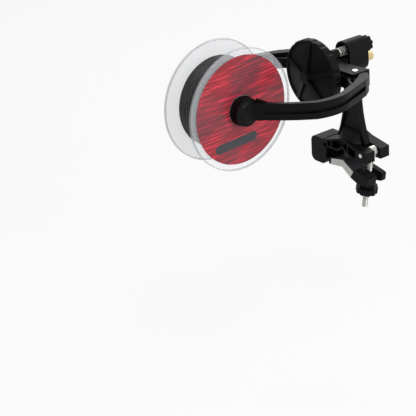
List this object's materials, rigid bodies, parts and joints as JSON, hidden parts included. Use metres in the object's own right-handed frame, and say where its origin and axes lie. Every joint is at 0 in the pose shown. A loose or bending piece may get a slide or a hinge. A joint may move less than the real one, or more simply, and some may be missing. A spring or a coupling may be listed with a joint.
{
  "type": "fishing line winder",
  "caption": "Clamp-on fishing line winder: a post on a rod clamp carries a swivelling yoke whose riveted arms hold a line spool between cones, closed by a star knob.",
  "frame": {"origin": "on the axis of the gripped rod, midway along the clamp", "axes": "+Y along the gripped rod and the yoke rod, from the spool towards the lock knob; +Z from the rod up the post; +X towards the side of the clamp screw"},
  "size_m": [0.1306, 0.2031, 0.1785],
  "materials": {
    "black_plastic": "moulded satin",
    "arm_plastic": "soft gloss",
    "grip_pad": "matt moulded",
    "steel": "bright zinc plated",
    "brass": "turned",
    "clear_plastic": "clear moulded",
    "label": "printed film",
    "line": "monofilament"
  },
  "bodies": {
    "stand": {"post_frame": "black_plastic", "head_bush": "steel", "jaw_hinge_pin": "steel", "swing_pin": "steel", "lock_spring": "steel"},
    "lower_jaw": {"lower_jaw": "black_plastic", "jaw_pad": "grip_pad"},
    "swing_bolt": {"swing_bolt": "steel"},
    "clamp_washer": {"clamp_washer": "steel"},
    "clamp_knob": {"clamp_knob": "black_plastic", "clamp_knob_insert": "brass"},
    "yoke": {"crossbar": "black_plastic", "hub_block": "black_plastic", "yoke_rod": "steel", "rod_washer": "steel", "rod_nut": "brass", "pivot_rivet_right": "steel", "pivot_rivet_left": "steel"},
    "right_arm": {"right_arm": "arm_plastic", "right_cone_pin": "steel"},
    "left_arm": {"left_arm": "arm_plastic", "left_cone_pin": "steel"},
    "right_cone": {"right_cone": "black_plastic"},
    "left_cone": {"left_cone": "black_plastic"},
    "thrust_washer": {"thrust_washer": "black_plastic"},
    "tension_knob": {"tension_knob": "black_plastic", "tension_knob_insert": "brass"},
    "lock": {"lock_plunger": "steel", "lock_knob": "black_plastic"},
    "spool": {"spool_core": "clear_plastic", "spool_flange_right": "clear_plastic", "spool_flange_left": "clear_plastic", "spool_label": "label", "line_core": "line", "line_winding": "line"}
  },
  "joints": [
    {"name": "yoke_swivel", "type": "hinge", "parent": "stand", "child": "yoke", "pos_m": [0, 0, 0.08], "axis": [0, 1, 0], "range_deg": [-90, 90]},
    {"name": "thrust_washer_slide", "type": "slide", "parent": "yoke", "child": "thrust_washer", "axis": [0, -1, 0], "range_m": [0, 0.00245]},
    {"name": "tension_knob_spin", "type": "hinge", "parent": "thrust_washer", "child": "tension_knob", "pos_m": [0, -0.0395, 0.08], "axis": [0, -1, 0], "range_deg": [0, 1080]},
    {"name": "right_arm_pivot", "type": "hinge", "parent": "yoke", "child": "right_arm", "pos_m": [0.0326, -0.0275, 0.08], "axis": [0, 0, 1], "range_deg": [0, 14]},
    {"name": "left_arm_pivot", "type": "hinge", "parent": "yoke", "child": "left_arm", "pos_m": [-0.0326, -0.0275, 0.08], "axis": [0, 0, 1], "range_deg": [-14, 0]},
    {"name": "spool_spin", "type": "hinge", "parent": "yoke", "child": "spool", "pos_m": [0, -0.1329, 0.08], "axis": [1, 0, 0], "continuous": true},
    {"name": "right_cone_spin", "type": "hinge", "parent": "right_arm", "child": "right_cone", "pos_m": [0.0194, -0.1329, 0.08], "axis": [1, 0, 0], "continuous": true},
    {"name": "left_cone_spin", "type": "hinge", "parent": "left_arm", "child": "left_cone", "pos_m": [-0.0194, -0.1329, 0.08], "axis": [1, 0, 0], "continuous": true},
    {"name": "lock_slide", "type": "slide", "parent": "stand", "child": "lock", "axis": [0, 1, 0], "range_m": [0, 0.0055], "stiffness_N_per_m": 1000, "springref_m": -0.002, "deforming": ["lock_spring"]},
    {"name": "swing_bolt_pivot", "type": "hinge", "parent": "stand", "child": "swing_bolt", "pos_m": [0.0216, 0, 0.0051], "axis": [0, 1, 0], "range_deg": [-165, 0]},
    {"name": "clamp_washer_slide", "type": "slide", "parent": "swing_bolt", "child": "clamp_washer", "axis": [-0.1822, 0, -0.9833], "range_m": [0, 0.0081]},
    {"name": "clamp_knob_spin", "type": "hinge", "parent": "clamp_washer", "child": "clamp_knob", "pos_m": [0.0216, 0, 0.0051], "axis": [-0.1822, 0, -0.9833], "range_deg": [0, 3600]},
    {"name": "lower_jaw_pivot", "type": "hinge", "parent": "stand", "child": "lower_jaw", "pos_m": [-0.0301, 0, -0.0027], "axis": [0, 1, 0], "range_deg": [0, 9.1]}
  ],
  "couplings": [
    {"joint": "thrust_washer_slide", "follows": "tension_knob_spin", "m_per_rad": 0.00012732},
    {"joint": "right_arm_pivot", "follows": "tension_knob_spin", "ratio": 0.01286},
    {"joint": "left_arm_pivot", "follows": "tension_knob_spin", "ratio": -0.01286},
    {"joint": "clamp_washer_slide", "follows": "clamp_knob_spin", "m_per_rad": 0.00012732},
    {"joint": "lower_jaw_pivot", "follows": "clamp_knob_spin", "ratio": 0.0024966}
  ]
}
